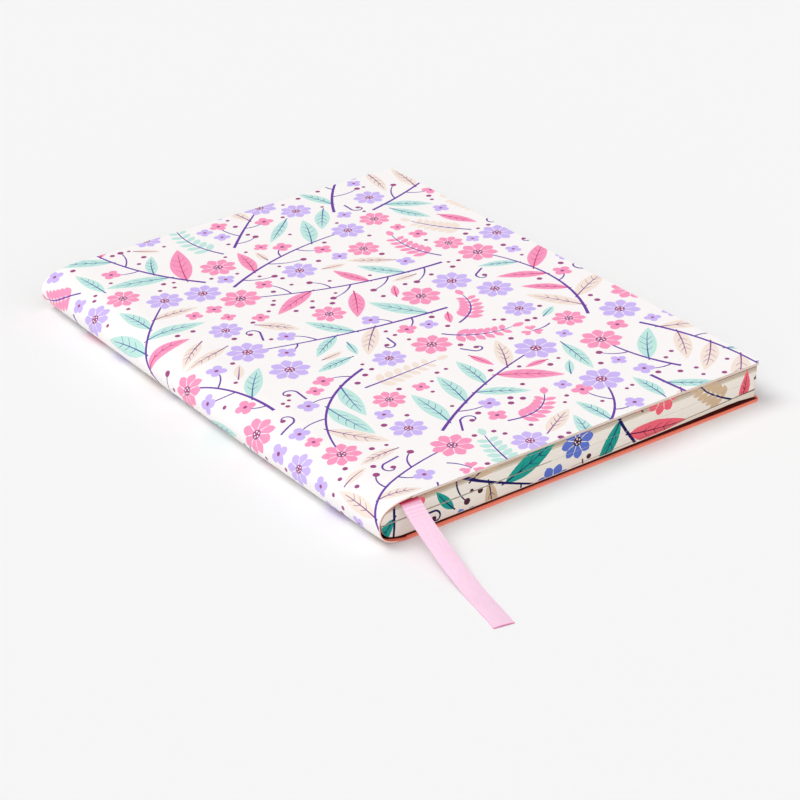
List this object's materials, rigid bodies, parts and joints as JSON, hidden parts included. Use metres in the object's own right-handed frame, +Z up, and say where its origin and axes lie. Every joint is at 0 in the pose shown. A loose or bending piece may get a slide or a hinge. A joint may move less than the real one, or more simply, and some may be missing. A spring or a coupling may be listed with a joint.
{
  "type": "soft cover notebook",
  "caption": "A5 soft cover notebook with a rounded spine, sewn sections, coral endpapers and a ribbon marker; it opens in the middle and at the front cover.",
  "frame": {"origin": "centre of the closed book's underside, on the table", "axes": "+X from the spine to the fore edge, +Y from the tail to the head, +Z up through the closed book"},
  "size_m": [0.15, 0.2652, 0.014],
  "materials": {
    "cover_print": "satin laminated printed paper, warm white with a floral print",
    "cover_card": "thin flexible card, coral dyed",
    "coral_paper": "matte coral endpaper",
    "leaves": "uncoated cream paper with printed edges",
    "mull_cloth": "open starched gauze",
    "sewing_thread": "twisted linen thread",
    "ribbon": "pale pink satin ribbon"
  },
  "bodies": {
    "back_half": {"back_cover_wrap": "cover_print", "back_cover_card": "cover_card", "back_cover_lining": "coral_paper", "back_flyleaf": "coral_paper", "section_01": "leaves", "section_02": "leaves", "section_03": "leaves", "section_04": "leaves", "section_05": "leaves", "section_06": "leaves", "thread_01": "sewing_thread", "thread_02": "sewing_thread", "thread_03": "sewing_thread", "thread_04": "sewing_thread", "thread_05": "sewing_thread", "thread_06": "sewing_thread", "spine_mull_lower": "mull_cloth"},
    "front_half": {"spine_wrap_upper": "cover_print", "spine_lining_upper": "coral_paper", "section_07": "leaves", "section_08": "leaves", "section_09": "leaves", "section_10": "leaves", "section_11": "leaves", "section_12": "leaves", "thread_07": "sewing_thread", "thread_08": "sewing_thread", "thread_09": "sewing_thread", "thread_10": "sewing_thread", "thread_11": "sewing_thread", "thread_12": "sewing_thread", "spine_mull_upper": "mull_cloth", "ribbon_inner": "ribbon"},
    "front_cover": {"front_cover_wrap": "cover_print", "front_cover_card": "cover_card", "front_cover_lining": "coral_paper"},
    "front_flyleaf": {"front_flyleaf": "coral_paper"},
    "ribbon_tail": {"ribbon_tail": "ribbon"},
    "centre_leaf_1": {"centre_leaf_1": "leaves"},
    "centre_leaf_2": {"centre_leaf_2": "leaves"}
  },
  "joints": [
    {"name": "middle_opening", "type": "hinge", "parent": "back_half", "child": "front_half", "pos_m": [-0.0752, 0, 0.007], "axis": [0, -1, 0], "range_deg": [0, 179]},
    {"name": "front_cover_hinge", "type": "hinge", "parent": "front_half", "child": "front_cover", "pos_m": [-0.066, 0, 0.01415], "axis": [0, -1, 0], "range_deg": [0, 179]},
    {"name": "front_flyleaf_turn", "type": "hinge", "parent": "front_half", "child": "front_flyleaf", "pos_m": [-0.0651, 0, 0.0131], "axis": [0, -1, 0], "range_deg": [0, 90]},
    {"name": "ribbon_lift", "type": "hinge", "parent": "front_half", "child": "ribbon_tail", "pos_m": [-0.06175, -0.1053, 0.01266], "axis": [-1, 0, 0], "range_deg": [0, 90]},
    {"name": "centre_leaf_1_turn", "type": "hinge", "parent": "back_half", "child": "centre_leaf_1", "pos_m": [-0.0736, 0, 0.0069], "axis": [0, -1, 0], "range_deg": [0, 60]},
    {"name": "centre_leaf_2_turn", "type": "hinge", "parent": "back_half", "child": "centre_leaf_2", "pos_m": [-0.0736, 0, 0.0071], "axis": [0, -1, 0], "range_deg": [0, 120]}
  ],
  "couplings": [
    {"joint": "front_flyleaf_turn", "follows": "front_cover_hinge", "ratio": 0.5},
    {"joint": "centre_leaf_1_turn", "follows": "middle_opening", "ratio": 0.33333},
    {"joint": "centre_leaf_2_turn", "follows": "middle_opening", "ratio": 0.66667}
  ]
}
